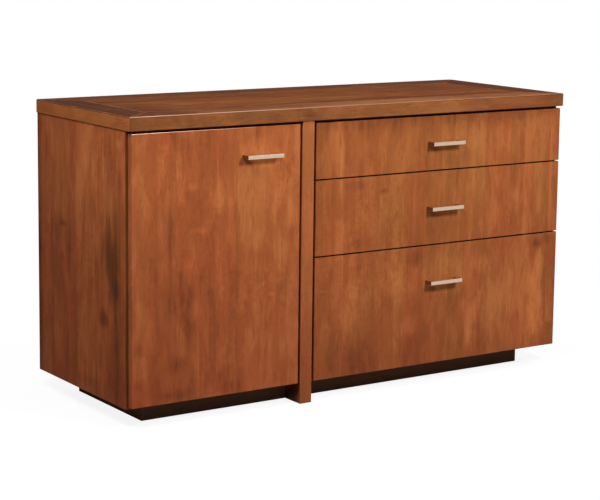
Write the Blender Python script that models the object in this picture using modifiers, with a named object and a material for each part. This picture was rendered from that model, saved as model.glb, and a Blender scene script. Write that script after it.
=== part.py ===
"""Office credenza: one cupboard with a hinged door beside three drawers.

The case stands on two recessed plinths and on its thick middle divider.
X runs from the cupboard to the drawers, Y runs from the front to the back and Z is up.
The origin is on the floor, in the middle of the space that the whole credenza takes.
All sizes are in metres.
"""

from math import pi, radians

import bmesh
import bpy
from mathutils import Matrix, Vector

# Overall sizes
WIDTH = 1.372
DEPTH = 0.508
HEIGHT = 0.770

# Running gap that neighbouring pieces keep between their faces
SEAT = 0.0003

# How far a cutter reaches past the face that it cuts
CUT_PAST = 0.001

# Corners closer than this are one corner
WELD = 0.00001

# Edges that turn by more than this are sharp, and can be eased
SHARP_ANGLE = radians(35)

# Length at which the joints' axes are drawn
AXIS_MARK = 0.05

# Top: a middle field in a mitred border
TOP_THICKNESS = 0.035
TOP_BORDER = 0.089
TOP_EASE = 0.0012

# Case panels
PANEL = 0.019
PANEL_EASE = 0.0006
SIDE_SET_IN = 0.003
CASE_BOTTOM = 0.049
DIVIDER = 0.035
DIVIDER_FROM_LEFT = 0.4995
BACK_PANEL = 0.012
BACK_SET_IN = 0.003
TOP_RAIL_DEPTH = 0.070

# Door and drawer fronts
FRONT = 0.019
FRONT_EASE = 0.001
FRONT_RECESS = 0.003
FRONT_TO_CASE = 0.0037
REVEAL = 0.0065
END_REVEAL = 0.005
DIVIDER_REVEAL = 0.0075
DRAWER_REVEAL = 0.0032
TOP_FRONT_HEIGHT = 0.1455
MIDDLE_FRONT_HEIGHT = 0.1972

# Plinths
PLINTH_FRONT_INSET = 0.0735
PLINTH_DEPTH = 0.342
PLINTH_LEFT_INSET = 0.072
PLINTH_RIGHT_INSET = 0.086
PLINTH_BOARD = 0.019

# Bar pulls
PULL_SPACING = 0.096
PULL_BAR = 0.010
PULL_THICKNESS = 0.008
PULL_PROJECTION = 0.027
PULL_EASE = 0.0008
DOOR_PULL_FROM_EDGE = 0.119

# Shelf and its pins
SHELF_SIDE_GAP = 0.001
SHELF_FRONT_GAP = 0.012
SHELF_BACK_GAP = 0.004
PIN_RADIUS = 0.0025
PIN_LENGTH = 0.016
PIN_HOLE_DEPTH = 0.009
PIN_FRONT_INSET = 0.037
PIN_BACK_INSET = 0.060
PIN_PITCH = 0.032
PIN_ROWS = 5
PIN_FIRST_HEIGHT = 0.335

# Cup hinges
CUP_RADIUS = 0.0173
CUP_DEPTH = 0.0127
CUP_WALL = 0.0010
CUP_FROM_EDGE = 0.0225
CUP_LIP = 0.0012
CUP_WING_WIDTH = 0.024
CUP_WING_HEIGHT = 0.056
CUP_SIDES = 32
HINGE_FROM_END = 0.100
HINGE_EYE = 0.0018
HINGE_PIN = 0.0010
HINGE_ARM = 0.0020
HINGE_ARM_HEIGHT = 0.007
HINGE_ARM_CLEARANCE = 0.0074
HINGE_ARM_BEND = 0.0018
HINGE_BODY_STEP = 0.0003
HINGE_BODY_SETBACK = 0.020
HINGE_BODY_LENGTH = 0.044
HINGE_BODY_HEIGHT = 0.012
HINGE_BODY_EASE = 0.0012
HINGE_PLATE_THICKNESS = 0.0035
HINGE_PLATE_WIDTH = 0.014
HINGE_PLATE_HEIGHT = 0.050
HINGE_PLATE_EASE = 0.0008
HINGE_SCREW_RADIUS = 0.0031
HINGE_SCREW_RECESS = 0.0010
HINGE_SCREW_FROM_END = 0.008

# Drawer boxes
BOX_WALL = 0.0127
BOX_BACK_GAP = 0.0207
BOX_EASE = 0.001
BOX_LIFT = 0.012
BOX_FLOOR = 0.006
BOX_FLOOR_HEIGHT = 0.010
BOX_GROOVE = 0.006
TOP_BOX_HEADROOM = 0.0335
MIDDLE_BOX_HEADROOM = 0.0352
FILE_BOX_HEADROOM = 0.0494

# Drawer runners
RUNNER_SPACE = 0.013
RUNNER_HEIGHT = 0.045
RUNNER_STEEL = 0.0012
RUNNER_ROW = 0.0030
RUNNER_FLANGE = 0.0085
RUNNER_ABOVE_BOX = 0.048
RUNNER_SETBACK = 0.002
RUNNER_BACK_GAP = 0.0153

# Hanging frame for files in the lowest drawer
FILE_SPAN = 0.390
FILE_BAR = 0.003
FILE_BAR_HEIGHT = 0.012

# Finishes: colour, roughness and metallic value
CASE_WOOD = ((0.30, 0.115, 0.045), 0.45, 0.0)
TOP_WOOD = ((0.22, 0.085, 0.040), 0.35, 0.0)
INNER_WOOD = ((0.33, 0.15, 0.07), 0.55, 0.0)
BOX_WOOD = ((0.62, 0.44, 0.26), 0.55, 0.0)
PLINTH_BLACK = ((0.030, 0.018, 0.013), 0.5, 0.0)
NICKEL = ((0.62, 0.58, 0.52), 0.3, 1.0)
ZINC = ((0.50, 0.51, 0.53), 0.3, 1.0)

# Levels and planes that follow from the sizes above
PULL_REACH = PULL_PROJECTION - FRONT_RECESS
LEFT = -WIDTH / 2
RIGHT = WIDTH / 2
BACK = (DEPTH + PULL_REACH) / 2
TOP_FRONT = BACK - DEPTH
TOP_UNDERSIDE = HEIGHT - TOP_THICKNESS
FRONT_FACE = TOP_FRONT + FRONT_RECESS
FRONT_BACK = FRONT_FACE + FRONT
CASE_FRONT = FRONT_BACK + FRONT_TO_CASE
INNER_BACK = BACK - BACK_SET_IN - BACK_PANEL
SIDE_LEFT = LEFT + SIDE_SET_IN
SIDE_RIGHT = RIGHT - SIDE_SET_IN
DIVIDER_LEFT = LEFT + DIVIDER_FROM_LEFT
DIVIDER_RIGHT = DIVIDER_LEFT + DIVIDER
CUPBOARD_LEFT = SIDE_LEFT + PANEL
DRAWERS_RIGHT = SIDE_RIGHT - PANEL
FLOOR_TOP = CASE_BOTTOM + PANEL
FRONTS_BOTTOM = CASE_BOTTOM + REVEAL
FRONTS_TOP = TOP_UNDERSIDE - REVEAL
DOOR_LEFT = SIDE_LEFT + END_REVEAL
DOOR_RIGHT = DIVIDER_LEFT - DIVIDER_REVEAL
DRAWER_LEFT = DIVIDER_RIGHT + DIVIDER_REVEAL
DRAWER_RIGHT = SIDE_RIGHT - END_REVEAL
BOX_FRONT = FRONT_BACK + SEAT
BOX_BACK = INNER_BACK - BOX_BACK_GAP
BOX_LEFT = DIVIDER_RIGHT + RUNNER_SPACE
BOX_RIGHT = DRAWERS_RIGHT - RUNNER_SPACE
RUNNER_FRONT = CASE_FRONT + RUNNER_SETBACK
RUNNER_BACK = INNER_BACK - RUNNER_BACK_GAP
CUP_INNER = CUP_RADIUS - CUP_WALL
CUP_CHORD = (CUP_INNER ** 2 - (HINGE_ARM_HEIGHT / 2) ** 2) ** 0.5
HINGE_X = DOOR_LEFT + CUP_FROM_EDGE - CUP_CHORD + SEAT + HINGE_EYE
HINGE_Y = FRONT_BACK - CUP_DEPTH + CUP_WALL + SEAT + HINGE_EYE


def clear_scene():
    """Remove every object that the file opened with."""
    for thing in list(bpy.data.objects):
        bpy.data.objects.remove(thing)


def new_collection(name):
    collection = bpy.data.collections.new(name)
    bpy.context.scene.collection.children.link(collection)
    return collection


clear_scene()
PARTS = new_collection("credenza")
CUTTERS = new_collection("cutters")


def finish(thing, look):
    """Give a piece its own plain material."""
    colour, roughness, metallic = look
    material = bpy.data.materials.new(thing.name + " finish")
    material.use_nodes = True
    shader = material.node_tree.nodes["Principled BSDF"]
    shader.inputs["Base Color"].default_value = (*colour, 1.0)
    shader.inputs["Roughness"].default_value = roughness
    shader.inputs["Metallic"].default_value = metallic
    thing.data.materials.clear()
    thing.data.materials.append(material)
    return thing


def bevel(thing, width, segments=1):
    modifier = thing.modifiers.new("eased edges", "BEVEL")
    modifier.width = width
    modifier.segments = segments
    modifier.limit_method = "ANGLE"
    modifier.angle_limit = SHARP_ANGLE
    return modifier


def block_mesh(name, size):
    """A box mesh of the given size about its own centre."""
    mesh = bpy.data.meshes.new(name)
    shape = bmesh.new()
    bmesh.ops.create_cube(shape, size=1.0)
    bmesh.ops.scale(shape, vec=size, verts=shape.verts)
    shape.to_mesh(mesh)
    shape.free()
    return mesh


def block(name, low, high, collection=PARTS):
    """A box between two opposite corners, with its origin at its centre."""
    low = Vector(low)
    high = Vector(high)
    thing = bpy.data.objects.new(name, block_mesh(name, high - low))
    thing.location = (low + high) / 2
    collection.objects.link(thing)
    return thing


def panel(name, low, high, look, ease=PANEL_EASE):
    thing = block(name, low, high)
    bevel(thing, ease)
    return finish(thing, look)


def rod(name, radius, length, axis, centre, collection=PARTS, sides=16):
    """A cylinder along X, Y or Z."""
    mesh = bpy.data.meshes.new(name)
    shape = bmesh.new()
    turns = {"X": Matrix.Rotation(pi / 2, 4, "Y"), "Y": Matrix.Rotation(pi / 2, 4, "X"), "Z": Matrix()}
    bmesh.ops.create_cone(shape, cap_ends=True, segments=sides, radius1=radius, radius2=radius,
                          depth=length, matrix=turns[axis])
    shape.to_mesh(mesh)
    shape.free()
    smooth(mesh)
    thing = bpy.data.objects.new(name, mesh)
    thing.location = centre
    collection.objects.link(thing)
    return thing


def smooth(mesh):
    mesh.shade_smooth()
    mesh.set_sharp_from_angle(angle=SHARP_ANGLE)


def outline(name, loops, thickness, collection=PARTS):
    """A flat curve of one or more closed loops, as thick as stated about its own plane."""
    curve = bpy.data.curves.new(name, "CURVE")
    curve.dimensions = "2D"
    curve.fill_mode = "BOTH"
    curve.extrude = thickness / 2
    for loop in loops:
        spline = curve.splines.new("POLY")
        spline.points.add(len(loop) - 1)
        for point, (x, y) in zip(spline.points, loop):
            point.co = (x, y, 0.0, 1.0)
        spline.use_cyclic_u = True
    thing = bpy.data.objects.new(name, curve)
    collection.objects.link(thing)
    return thing


def as_mesh(thing):
    """Swap a curve object for a welded mesh object of the same name and place."""
    bpy.context.view_layer.update()
    graph = bpy.context.evaluated_depsgraph_get()
    mesh = bpy.data.meshes.new_from_object(thing.evaluated_get(graph))
    shape = bmesh.new()
    shape.from_mesh(mesh)
    bmesh.ops.remove_doubles(shape, verts=shape.verts, dist=WELD)
    bmesh.ops.recalc_face_normals(shape, faces=shape.faces)
    shape.to_mesh(mesh)
    shape.free()
    name = thing.name
    place = thing.matrix_world.copy()
    collection = thing.users_collection[0]
    bpy.data.objects.remove(thing)
    swapped = bpy.data.objects.new(name, mesh)
    swapped.matrix_world = place
    collection.objects.link(swapped)
    return swapped


def hide_cutter(cutter):
    cutter.hide_render = True
    cutter.display_type = "WIRE"


def boolean(thing, other, operation):
    modifier = thing.modifiers.new(operation.lower() + " " + other.name, "BOOLEAN")
    modifier.operation = operation
    modifier.solver = "EXACT"
    modifier.object = other
    hide_cutter(other)
    return modifier


def join_meshes(name, things, collection):
    """One mesh object out of several that keep their places."""
    shape = bmesh.new()
    for thing in things:
        copy = thing.data.copy()
        copy.transform(Matrix.Translation(thing.location))
        shape.from_mesh(copy)
        bpy.data.meshes.remove(copy)
        bpy.data.objects.remove(thing)
    mesh = bpy.data.meshes.new(name)
    shape.to_mesh(mesh)
    shape.free()
    joined = bpy.data.objects.new(name, mesh)
    collection.objects.link(joined)
    return joined


def strip(points, thickness):
    """The closed outline of an open path that has a wall thickness, with mitred corners."""
    path = [Vector(point) for point in points]
    left_side = []
    right_side = []
    for index, point in enumerate(path):
        before = (point - path[index - 1]).normalized() if index > 0 else None
        after = (path[index + 1] - point).normalized() if index < len(path) - 1 else None
        first = before or after
        second = after or before
        middle = (first + second).normalized()
        normal = Vector((-middle.y, middle.x))
        reach = thickness / 2 / normal.dot(Vector((-first.y, first.x)))
        left_side.append(point + normal * reach)
        right_side.append(point - normal * reach)
    return [tuple(point) for point in left_side + right_side[::-1]]


def carry(axis_name, place, things):
    """Parent moving pieces to an empty on their joint's axis."""
    empty = bpy.data.objects.new(axis_name, None)
    empty.empty_display_size = AXIS_MARK
    empty.location = place
    PARTS.objects.link(empty)
    for thing in things:
        thing.parent = empty
        thing.location -= Vector(place)
    return empty


def mitred_board(name, along, low, high):
    """A border board of the top: its ends are cut back at 45 degrees on the side of the field."""
    thing = block(name, low, high)
    across = 1 - along
    inner_sign = -1 if thing.location[across] > (TOP_FRONT + BACK) / 2 * across else 1
    for vertex in thing.data.vertices:
        if vertex.co[across] * inner_sign > 0:
            vertex.co[along] -= TOP_BORDER if vertex.co[along] > 0 else -TOP_BORDER
    bevel(thing, TOP_EASE)
    return finish(thing, TOP_WOOD)


def make_top():
    """The field and the four mitred border boards around it."""
    half_gap = SEAT / 2
    low = TOP_UNDERSIDE
    high = HEIGHT
    mitre_gap = SEAT / 2 ** 0.5
    panel("top_field",
          (LEFT + TOP_BORDER + half_gap, TOP_FRONT + TOP_BORDER + half_gap, low),
          (RIGHT - TOP_BORDER - half_gap, BACK - TOP_BORDER - half_gap, high), TOP_WOOD)
    edge = TOP_BORDER - half_gap
    mitred_board("top_border_front", 0, (LEFT + mitre_gap, TOP_FRONT, low),
                 (RIGHT - mitre_gap, TOP_FRONT + edge, high))
    mitred_board("top_border_back", 0, (LEFT + mitre_gap, BACK - edge, low),
                 (RIGHT - mitre_gap, BACK, high))
    mitred_board("top_border_left", 1, (LEFT, TOP_FRONT + mitre_gap, low),
                 (LEFT + edge, BACK - mitre_gap, high))
    mitred_board("top_border_right", 1, (RIGHT - edge, TOP_FRONT + mitre_gap, low),
                 (RIGHT, BACK - mitre_gap, high))


def pin_places():
    """Y of the front and back rows of shelf pin holes, and the heights of the holes."""
    rows = (CASE_FRONT + PIN_FRONT_INSET, INNER_BACK - PIN_BACK_INSET)
    heights = [PIN_FIRST_HEIGHT + PIN_PITCH * row for row in range(PIN_ROWS)]
    return rows, heights


def drill_pin_holes(thing, face_x, inward):
    """Rows of blind holes for shelf pins in a panel's face."""
    rows, heights = pin_places()
    depth = PIN_HOLE_DEPTH + SEAT
    middle = face_x + inward * (depth - CUT_PAST) / 2
    drills = []
    for y in rows:
        for z in heights:
            drill = rod("drill", PIN_RADIUS + SEAT, depth + CUT_PAST, "X", (middle, y, z), CUTTERS, sides=12)
            drills.append(drill)
    cutter = join_meshes("pin holes " + thing.name, drills, CUTTERS)
    boolean(thing, cutter, "DIFFERENCE")


def make_case():
    """Sides, divider, floors, backs and the rails under the top."""
    upper = TOP_UNDERSIDE - SEAT
    left_side = panel("side_panel_left", (SIDE_LEFT, CASE_FRONT, CASE_BOTTOM),
                      (CUPBOARD_LEFT, BACK, upper), CASE_WOOD)
    drill_pin_holes(left_side, CUPBOARD_LEFT, -1)
    panel("side_panel_right", (DRAWERS_RIGHT, CASE_FRONT, CASE_BOTTOM),
          (SIDE_RIGHT, BACK, upper), CASE_WOOD)
    divider = panel("divider_panel", (DIVIDER_LEFT, FRONT_FACE, 0.0),
                    (DIVIDER_RIGHT, BACK, upper), CASE_WOOD)
    drill_pin_holes(divider, DIVIDER_LEFT, 1)
    bays = {"left": (CUPBOARD_LEFT + SEAT, DIVIDER_LEFT - SEAT),
            "right": (DIVIDER_RIGHT + SEAT, DRAWERS_RIGHT - SEAT)}
    for side, (low_x, high_x) in bays.items():
        panel("bottom_panel_" + side, (low_x, CASE_FRONT, CASE_BOTTOM),
              (high_x, INNER_BACK - SEAT, FLOOR_TOP), CASE_WOOD)
        panel("back_panel_" + side, (low_x, INNER_BACK, CASE_BOTTOM),
              (high_x, BACK - BACK_SET_IN, upper), INNER_WOOD)
        panel("top_rail_" + side, (low_x, CASE_FRONT, upper - PANEL),
              (high_x, CASE_FRONT + TOP_RAIL_DEPTH, upper), CASE_WOOD)


def make_plinths():
    """Two open frames of boards that carry the case, one on each side of the divider."""
    front = TOP_FRONT + PLINTH_FRONT_INSET
    back = front + PLINTH_DEPTH
    upper = CASE_BOTTOM - SEAT
    spans = {"left": (LEFT + PLINTH_LEFT_INSET, DIVIDER_LEFT - SEAT),
             "right": (DIVIDER_RIGHT + SEAT, RIGHT - PLINTH_RIGHT_INSET)}
    for side, (low_x, high_x) in spans.items():
        panel("plinth_front_" + side, (low_x, front, 0.0),
              (high_x, front + PLINTH_BOARD, upper), PLINTH_BLACK)
        panel("plinth_back_" + side, (low_x, back - PLINTH_BOARD, 0.0),
              (high_x, back, upper), PLINTH_BLACK)
        end_low = low_x if side == "left" else high_x - PLINTH_BOARD
        panel("plinth_end_" + side, (end_low, front + PLINTH_BOARD + SEAT, 0.0),
              (end_low + PLINTH_BOARD, back - PLINTH_BOARD - SEAT, upper), PLINTH_BLACK)


def make_shelf():
    """The adjustable shelf and the four pins that it lies on."""
    rows, heights = pin_places()
    pin_height = heights[len(heights) // 2]
    under = pin_height + PIN_RADIUS + SEAT
    panel("shelf", (CUPBOARD_LEFT + SHELF_SIDE_GAP, CASE_FRONT + SHELF_FRONT_GAP, under),
          (DIVIDER_LEFT - SHELF_SIDE_GAP, INNER_BACK - SHELF_BACK_GAP, under + PANEL), CASE_WOOD)
    ends = {"left": CUPBOARD_LEFT - PIN_HOLE_DEPTH + PIN_LENGTH / 2,
            "right": DIVIDER_LEFT + PIN_HOLE_DEPTH - PIN_LENGTH / 2}
    for row, y in zip(("front", "back"), rows):
        for side, x in ends.items():
            name = "shelf_pin_" + row + "_" + side
            pin = rod(name, PIN_RADIUS, PIN_LENGTH, "X", (x, y, pin_height), sides=12)
            finish(pin, ZINC)


def make_pull(name, centre_x, centre_z):
    """A square bar on two square legs, as one bent outline seen from above."""
    half = (PULL_SPACING + PULL_BAR) / 2
    inner = half - PULL_BAR
    foot = 0.0
    front = -PULL_PROJECTION + SEAT
    bar_back = front + PULL_THICKNESS
    loop = [(-half, foot), (-half, front), (half, front), (half, foot),
            (inner, foot), (inner, bar_back), (-inner, bar_back), (-inner, foot)]
    curve = outline(name, [loop], PULL_BAR)
    curve.location = (centre_x, FRONT_FACE - SEAT, centre_z)
    pull = as_mesh(curve)
    bevel(pull, PULL_EASE, segments=2)
    return finish(pull, NICKEL)


def hinge_heights():
    return {"upper": FRONTS_TOP - HINGE_FROM_END, "lower": FRONTS_BOTTOM + HINGE_FROM_END}


def make_hinge_cup(name, z):
    """A turned cup in the door's back with a fixing wing above and below it."""
    profile = [(0.0, -CUP_DEPTH), (CUP_RADIUS, -CUP_DEPTH), (CUP_RADIUS, SEAT), (CUP_RADIUS + CUP_LIP, SEAT),
               (CUP_RADIUS + CUP_LIP, SEAT + CUP_WALL), (CUP_INNER, SEAT + CUP_WALL),
               (CUP_INNER, -CUP_DEPTH + CUP_WALL), (0.0, -CUP_DEPTH + CUP_WALL)]
    mesh = bpy.data.meshes.new(name)
    shape = bmesh.new()
    rim = [shape.verts.new((radius, 0.0, height)) for radius, height in profile]
    edges = [shape.edges.new(pair) for pair in zip(rim[:-1], rim[1:])]
    bmesh.ops.spin(shape, geom=rim + edges, cent=(0, 0, 0), axis=(0, 0, 1), angle=2 * pi,
                   steps=CUP_SIDES, use_merge=True)
    bmesh.ops.remove_doubles(shape, verts=shape.verts, dist=WELD)
    bmesh.ops.recalc_face_normals(shape, faces=shape.faces)
    shape.to_mesh(mesh)
    shape.free()
    mesh.transform(Matrix.Rotation(-pi / 2, 4, "X"))
    smooth(mesh)
    cup = bpy.data.objects.new(name, mesh)
    cup.location = (DOOR_LEFT + CUP_FROM_EDGE, FRONT_BACK, z)
    PARTS.objects.link(cup)
    wing = CUP_WING_WIDTH / 2
    height = CUP_WING_HEIGHT / 2
    bite = CUP_RADIUS - CUP_WALL / 2
    for label, low, high in (("upper", bite, height), ("lower", -height, -bite)):
        plate = block(name + " wing " + label, (cup.location.x - wing, FRONT_BACK + SEAT, z + low),
                      (cup.location.x + wing, FRONT_BACK + SEAT + CUP_WALL, z + high), CUTTERS)
        boolean(cup, plate, "UNION")
    return finish(cup, ZINC)


def make_hinge_arm(name, z):
    """An arm on a cross-shaped plate: its tongue reaches into the cup and ends in the eye for the pin."""
    wall = CUPBOARD_LEFT + SEAT
    tongue_x = CUPBOARD_LEFT + HINGE_ARM_CLEARANCE + HINGE_ARM / 2
    body_front = CASE_FRONT + HINGE_BODY_SETBACK
    body_back = body_front + HINGE_BODY_LENGTH
    body_face = tongue_x + HINGE_ARM / 2 + HINGE_BODY_STEP
    half = HINGE_BODY_HEIGHT / 2
    path = [(HINGE_X, HINGE_Y), (tongue_x - HINGE_ARM_BEND, HINGE_Y), (tongue_x, HINGE_Y + HINGE_ARM_BEND),
            (tongue_x, body_front + HINGE_BODY_EASE + CUT_PAST)]
    curve = outline(name, [strip(path, HINGE_ARM)], HINGE_ARM_HEIGHT)
    curve.location = (0.0, 0.0, z)
    arm = as_mesh(curve)
    eye = rod(name + " eye", HINGE_EYE, HINGE_ARM_HEIGHT, "Z", (HINGE_X, HINGE_Y, z), CUTTERS)
    boolean(arm, eye, "UNION")
    body = block(name + " body", (wall, body_front, z - half), (body_face, body_back, z + half), CUTTERS)
    bevel(body, HINGE_BODY_EASE)
    boolean(arm, body, "UNION")
    plate_size = (HINGE_PLATE_THICKNESS, HINGE_PLATE_WIDTH, HINGE_PLATE_HEIGHT)
    plate_low = Vector((wall, CASE_FRONT + PIN_FRONT_INSET - HINGE_PLATE_WIDTH / 2, z - HINGE_PLATE_HEIGHT / 2))
    plate = block(name + " plate", plate_low, plate_low + Vector(plate_size), CUTTERS)
    bevel(plate, HINGE_PLATE_EASE)
    boolean(arm, plate, "UNION")
    bore = rod(name + " bore", HINGE_PIN + SEAT, HINGE_ARM_HEIGHT * 2, "Z", (HINGE_X, HINGE_Y, z), CUTTERS)
    boolean(arm, bore, "DIFFERENCE")
    screws = {"front": body_front + HINGE_SCREW_FROM_END, "back": body_back - HINGE_SCREW_FROM_END}
    for label, y in screws.items():
        recess = rod(name + " recess " + label, HINGE_SCREW_RADIUS, 2 * HINGE_SCREW_RECESS, "X",
                     (body_face, y, z), CUTTERS)
        boolean(arm, recess, "DIFFERENCE")
    return finish(arm, ZINC)


def make_door():
    """The door with its pull, cups and hinge pins, carried on the hinge axis."""
    door = panel("door", (DOOR_LEFT, FRONT_FACE, FRONTS_BOTTOM), (DOOR_RIGHT, FRONT_BACK, FRONTS_TOP),
                 CASE_WOOD, FRONT_EASE)
    moving = [door]
    offset = DOOR_LEFT + CUP_FROM_EDGE - HINGE_X
    pin_length = 2 * ((CUP_INNER - SEAT) ** 2 - (offset + HINGE_PIN) ** 2) ** 0.5
    for label, z in hinge_heights().items():
        bore = rod("cup bore " + label, CUP_RADIUS + SEAT, 2 * (CUP_DEPTH + SEAT), "Y",
                   (DOOR_LEFT + CUP_FROM_EDGE, FRONT_BACK, z), CUTTERS, sides=CUP_SIDES)
        boolean(door, bore, "DIFFERENCE")
        moving.append(make_hinge_cup("hinge_cup_" + label, z))
        pin = rod("hinge_pin_" + label, HINGE_PIN, pin_length, "Z", (HINGE_X, HINGE_Y, z), sides=12)
        moving.append(finish(pin, ZINC))
        make_hinge_arm("hinge_arm_" + label, z)
    pull_height = FRONTS_TOP - TOP_FRONT_HEIGHT / 2
    moving.append(make_pull("door_pull", DOOR_RIGHT - DOOR_PULL_FROM_EDGE, pull_height))
    carry("door hinge axis", (HINGE_X, HINGE_Y, FRONTS_BOTTOM), moving)


def channel(name, web_x, tip_x, half_height, row, centre_z):
    """A rolled runner member: a flat web with a ball row along its upper and lower edge."""
    direction = 1 if tip_x > web_x else -1
    inner = web_x + direction * RUNNER_STEEL
    loop = [(web_x, -half_height), (tip_x, -half_height),
            (tip_x, -half_height + row), (inner, -half_height + row),
            (inner, half_height - row), (tip_x, half_height - row),
            (tip_x, half_height), (web_x, half_height)]
    member = outline(name, [loop], RUNNER_BACK - RUNNER_FRONT)
    member.rotation_euler = (pi / 2, 0.0, 0.0)
    member.location = (0.0, (RUNNER_FRONT + RUNNER_BACK) / 2, centre_z)
    return finish(member, ZINC)


def make_runners(label, box_bottom, full_extension):
    """The runners at both sides of a drawer, with a middle member for full extension."""
    centre_z = box_bottom + RUNNER_ABOVE_BOX
    outer_half = RUNNER_HEIGHT / 2
    middle_half = outer_half - RUNNER_STEEL - SEAT
    drawer_half = middle_half - RUNNER_STEEL - SEAT if full_extension else middle_half
    on_drawer = []
    between = []
    for side, case_face, inward in (("left", DIVIDER_RIGHT, 1), ("right", DRAWERS_RIGHT, -1)):
        place = label + "_" + side
        case_web = case_face + inward * SEAT
        case_tip = case_web + inward * (RUNNER_FLANGE + RUNNER_STEEL)
        channel("runner_case_" + place, case_web, case_tip, outer_half, RUNNER_STEEL, centre_z)
        drawer_web = case_face + inward * (RUNNER_SPACE - SEAT)
        drawer_tip = case_web + inward * (3 * RUNNER_STEEL + 2 * SEAT)
        on_drawer.append(channel("runner_drawer_" + place, drawer_web, drawer_tip,
                                 drawer_half, RUNNER_ROW, centre_z))
        if full_extension:
            middle_web = case_web + inward * (RUNNER_STEEL + SEAT)
            between.append(channel("runner_middle_" + place, middle_web, middle_web + inward * RUNNER_FLANGE,
                                   middle_half, RUNNER_STEEL, centre_z))
    return on_drawer, between, centre_z


def make_box(label, bottom, top):
    """A drawer box: four walls in one ring, with a groove that holds the loose bottom board."""
    ring = block("drawer_box_" + label, (BOX_LEFT, BOX_FRONT, bottom), (BOX_RIGHT, BOX_BACK, top))
    bevel(ring, BOX_EASE)
    inside_low = (BOX_LEFT + BOX_WALL, BOX_FRONT + BOX_WALL)
    inside_high = (BOX_RIGHT - BOX_WALL, BOX_BACK - BOX_WALL)
    well = block("well " + label, (*inside_low, bottom - CUT_PAST), (*inside_high, top + CUT_PAST), CUTTERS)
    boolean(ring, well, "DIFFERENCE")
    groove_low = bottom + BOX_FLOOR_HEIGHT - SEAT
    groove_high = bottom + BOX_FLOOR_HEIGHT + BOX_FLOOR + SEAT
    groove = block("groove " + label, (inside_low[0] - BOX_GROOVE, inside_low[1] - BOX_GROOVE, groove_low),
                   (inside_high[0] + BOX_GROOVE, inside_high[1] + BOX_GROOVE, groove_high), CUTTERS)
    boolean(ring, groove, "DIFFERENCE")
    finish(ring, BOX_WOOD)
    reach = BOX_GROOVE - SEAT
    board = block("drawer_bottom_" + label,
                  (inside_low[0] - reach, inside_low[1] - reach, bottom + BOX_FLOOR_HEIGHT),
                  (inside_high[0] + reach, inside_high[1] + reach, bottom + BOX_FLOOR_HEIGHT + BOX_FLOOR))
    finish(board, BOX_WOOD)
    return [ring, board]


def make_file_frame(box_top):
    """A flat steel frame on the lowest box, from whose front and back bars files hang."""
    low_x = BOX_LEFT + BOX_WALL / 2
    high_x = BOX_RIGHT - BOX_WALL / 2
    low_y = BOX_FRONT + BOX_WALL / 2
    high_y = low_y + FILE_SPAN + FILE_BAR
    outer = [(low_x, low_y), (high_x, low_y), (high_x, high_y), (low_x, high_y)]
    inner = [(low_x + FILE_BAR, low_y + FILE_BAR), (high_x - FILE_BAR, low_y + FILE_BAR),
             (high_x - FILE_BAR, high_y - FILE_BAR), (low_x + FILE_BAR, high_y - FILE_BAR)]
    frame = outline("file_frame", [outer, inner], FILE_BAR_HEIGHT)
    frame.location = (0.0, 0.0, box_top + SEAT + FILE_BAR_HEIGHT / 2)
    return finish(frame, ZINC)


def make_drawer(label, low, high, pull_z, box_bottom, box_top, is_file_drawer):
    """A front with its pull, the box behind it and the runners that carry it."""
    front = panel("drawer_front_" + label, (DRAWER_LEFT, FRONT_FACE, low), (DRAWER_RIGHT, FRONT_BACK, high),
                  CASE_WOOD, FRONT_EASE)
    pull = make_pull("drawer_pull_" + label, (DRAWER_LEFT + DRAWER_RIGHT) / 2, pull_z)
    on_drawer, between, runner_z = make_runners(label, box_bottom, is_file_drawer)
    moving = [front, pull, *make_box(label, box_bottom, box_top), *on_drawer]
    if is_file_drawer:
        moving.append(make_file_frame(box_top))
        carry("middle runner " + label, (0.0, CASE_FRONT, runner_z), between)
    carry("drawer slide " + label, (0.0, CASE_FRONT, runner_z), moving)


def make_drawers():
    """Three drawers, from the top one down to the file drawer."""
    top_low = FRONTS_TOP - TOP_FRONT_HEIGHT
    middle_high = top_low - DRAWER_REVEAL
    middle_low = middle_high - MIDDLE_FRONT_HEIGHT
    file_high = middle_low - DRAWER_REVEAL
    pull_drop = MIDDLE_FRONT_HEIGHT / 2
    make_drawer("top", top_low, FRONTS_TOP, FRONTS_TOP - TOP_FRONT_HEIGHT / 2,
                top_low + BOX_LIFT, FRONTS_TOP - TOP_BOX_HEADROOM, False)
    make_drawer("middle", middle_low, middle_high, middle_high - pull_drop,
                middle_low + BOX_LIFT, middle_high - MIDDLE_BOX_HEADROOM, False)
    make_drawer("file", FRONTS_BOTTOM, file_high, file_high - pull_drop,
                FLOOR_TOP + BOX_LIFT, file_high - FILE_BOX_HEADROOM, True)


make_top()
make_case()
make_plinths()
make_shelf()
make_door()
make_drawers()
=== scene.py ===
from collections import namedtuple
from math import pi, radians

import bmesh
import bpy
from mathutils import Matrix, Vector


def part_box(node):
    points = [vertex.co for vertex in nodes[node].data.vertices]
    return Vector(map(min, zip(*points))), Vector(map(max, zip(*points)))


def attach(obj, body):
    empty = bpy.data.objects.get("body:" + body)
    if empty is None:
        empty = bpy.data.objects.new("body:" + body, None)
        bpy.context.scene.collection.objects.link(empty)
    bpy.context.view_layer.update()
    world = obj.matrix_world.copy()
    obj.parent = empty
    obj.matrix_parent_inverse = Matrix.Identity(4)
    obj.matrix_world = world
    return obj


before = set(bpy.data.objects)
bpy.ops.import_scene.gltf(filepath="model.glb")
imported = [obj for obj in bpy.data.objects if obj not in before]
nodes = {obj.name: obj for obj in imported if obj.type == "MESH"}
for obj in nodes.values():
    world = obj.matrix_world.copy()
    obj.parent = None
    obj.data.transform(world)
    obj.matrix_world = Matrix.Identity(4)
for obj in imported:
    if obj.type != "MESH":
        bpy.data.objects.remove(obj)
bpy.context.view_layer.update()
scene = bpy.context.scene


def halfway(low, high):
    return (low + high) / 2


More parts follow.
